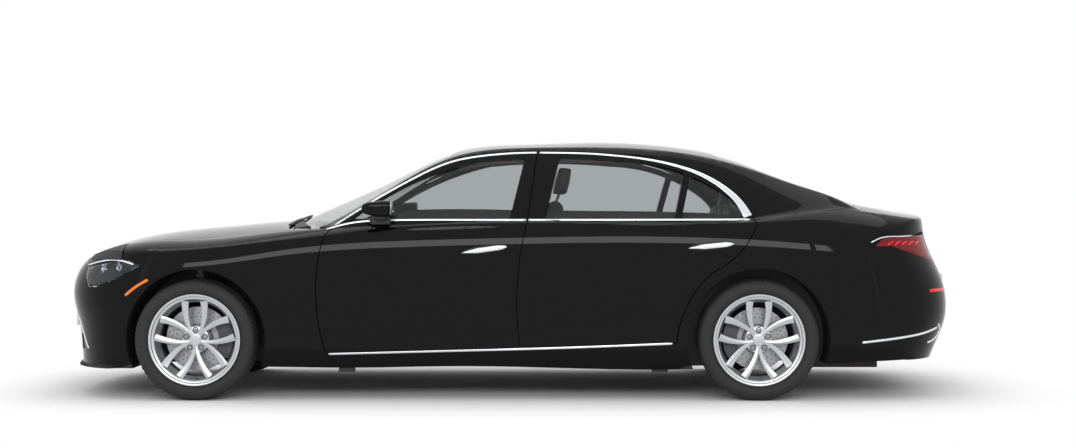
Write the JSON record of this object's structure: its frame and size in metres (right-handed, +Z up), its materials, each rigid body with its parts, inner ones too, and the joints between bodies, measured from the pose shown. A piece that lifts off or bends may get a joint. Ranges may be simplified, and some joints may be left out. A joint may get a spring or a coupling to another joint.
{
  "type": "luxury sedan",
  "caption": "Long four-door saloon car with a hollow cabin, opening doors, hood and boot, steered front wheels and rolling wheels.",
  "frame": {"origin": "on the ground, under the middle of the car's box", "axes": "+X toward the tail, +Y toward the car's right side, +Z up"},
  "size_m": [5.288, 2.108, 1.503],
  "materials": {
    "paint": "deep black gloss paint with a clear coat",
    "structure": "black paint over the seams and wells",
    "chrome": "bright polished trim",
    "glass": "tinted glass",
    "lamp_glass": "clear lamp cover",
    "red_glass": "red lamp cover",
    "alloy": "silver painted alloy",
    "tyre": "black rubber",
    "cast": "bare cast metal",
    "steel": "dull steel",
    "black_plastic": "black plastic",
    "leather": "black leather"
  },
  "bodies": {
    "root": {"front_structure": "structure", "rear_structure": "paint", "floor": "structure", "roof": "paint", "side_left": "paint", "side_right": "paint", "front_fenders": "paint", "front_bumper": "paint", "rear_bumper": "paint", "grille": "chrome", "headlamps": "lamp_glass", "tail_lamps": "red_glass", "windshield": "glass", "rear_window": "glass", "front_subframe": "cast", "rear_subframe": "cast", "dashboard": "leather", "centre_console": "leather", "front_seats": "leather", "rear_seat": "leather", "engine_block": "cast", "driveline": "steel", "exhaust": "steel", "radiator": "black_plastic"},
    "hood": {"hood": "paint"},
    "trunk_lid": {"trunk_lid": "paint"},
    "steering_wheel": {"steering_wheel": "leather"},
    "door_front_left": {"door_front_left": "paint", "glass_front_left": "glass", "mirror_left": "paint"},
    "door_rear_left": {"door_rear_left": "paint", "glass_rear_left": "glass"},
    "knuckle_left": {"knuckle_left": "cast"},
    "wheel_front_left": {"wheel_front_left": "alloy", "tyre_front_left": "tyre"},
    "wheel_rear_left": {"wheel_rear_left": "alloy", "tyre_rear_left": "tyre", "half_shaft_left": "steel"},
    "door_front_right": {"door_front_right": "paint", "glass_front_right": "glass", "mirror_right": "paint"},
    "door_rear_right": {"door_rear_right": "paint", "glass_rear_right": "glass"},
    "knuckle_right": {"knuckle_right": "cast"},
    "wheel_front_right": {"wheel_front_right": "alloy", "tyre_front_right": "tyre"},
    "wheel_rear_right": {"wheel_rear_right": "alloy", "tyre_rear_right": "tyre", "half_shaft_right": "steel"}
  },
  "joints": [
    {"name": "steer_left", "type": "hinge", "parent": "root", "child": "knuckle_left", "pos_m": [-1.7755, -0.76, 0.345], "axis": [0, 0, 1], "range_deg": [-35, 35]},
    {"name": "wheel_front_left_spin", "type": "hinge", "parent": "knuckle_left", "child": "wheel_front_left", "pos_m": [-1.7755, -0.83, 0.345], "axis": [0, 1, 0], "continuous": true},
    {"name": "wheel_rear_left_spin", "type": "hinge", "parent": "root", "child": "wheel_rear_left", "pos_m": [1.4405, -0.844, 0.345], "axis": [0, 1, 0], "continuous": true},
    {"name": "door_front_left_hinge", "type": "hinge", "parent": "root", "child": "door_front_left", "pos_m": [-1.0395, -0.944, 0.6], "axis": [0, 0, -1], "range_deg": [0, 68]},
    {"name": "door_rear_left_hinge", "type": "hinge", "parent": "root", "child": "door_rear_left", "pos_m": [0.1045, -0.954, 0.6], "axis": [0, 0, -1], "range_deg": [0, 66]},
    {"name": "steer_right", "type": "hinge", "parent": "root", "child": "knuckle_right", "pos_m": [-1.7755, 0.76, 0.345], "axis": [0, 0, 1], "range_deg": [-35, 35]},
    {"name": "wheel_front_right_spin", "type": "hinge", "parent": "knuckle_right", "child": "wheel_front_right", "pos_m": [-1.7755, 0.83, 0.345], "axis": [0, 1, 0], "continuous": true},
    {"name": "wheel_rear_right_spin", "type": "hinge", "parent": "root", "child": "wheel_rear_right", "pos_m": [1.4405, 0.844, 0.345], "axis": [0, 1, 0], "continuous": true},
    {"name": "door_front_right_hinge", "type": "hinge", "parent": "root", "child": "door_front_right", "pos_m": [-1.0395, 0.944, 0.6], "axis": [0, 0, 1], "range_deg": [0, 68]},
    {"name": "door_rear_right_hinge", "type": "hinge", "parent": "root", "child": "door_rear_right", "pos_m": [0.1045, 0.954, 0.6], "axis": [0, 0, 1], "range_deg": [0, 66]},
    {"name": "hood_hinge", "type": "hinge", "parent": "root", "child": "hood", "pos_m": [-1.2275, 0, 1.018], "axis": [0, 1, 0], "range_deg": [0, 50]},
    {"name": "trunk_lid_hinge", "type": "hinge", "parent": "root", "child": "trunk_lid", "pos_m": [2.0405, 0, 1.13], "axis": [0, -1, 0], "range_deg": [0, 75]},
    {"name": "steering_wheel_turn", "type": "hinge", "parent": "root", "child": "steering_wheel", "pos_m": [-0.6955, -0.372, 0.905], "axis": [0.9135, 0, 0.4067], "range_deg": [-455, 455]}
  ],
  "couplings": [
    {"joint": "steer_right", "follows": "steer_left", "ratio": 1},
    {"joint": "steering_wheel_turn", "follows": "steer_left", "ratio": 13}
  ]
}
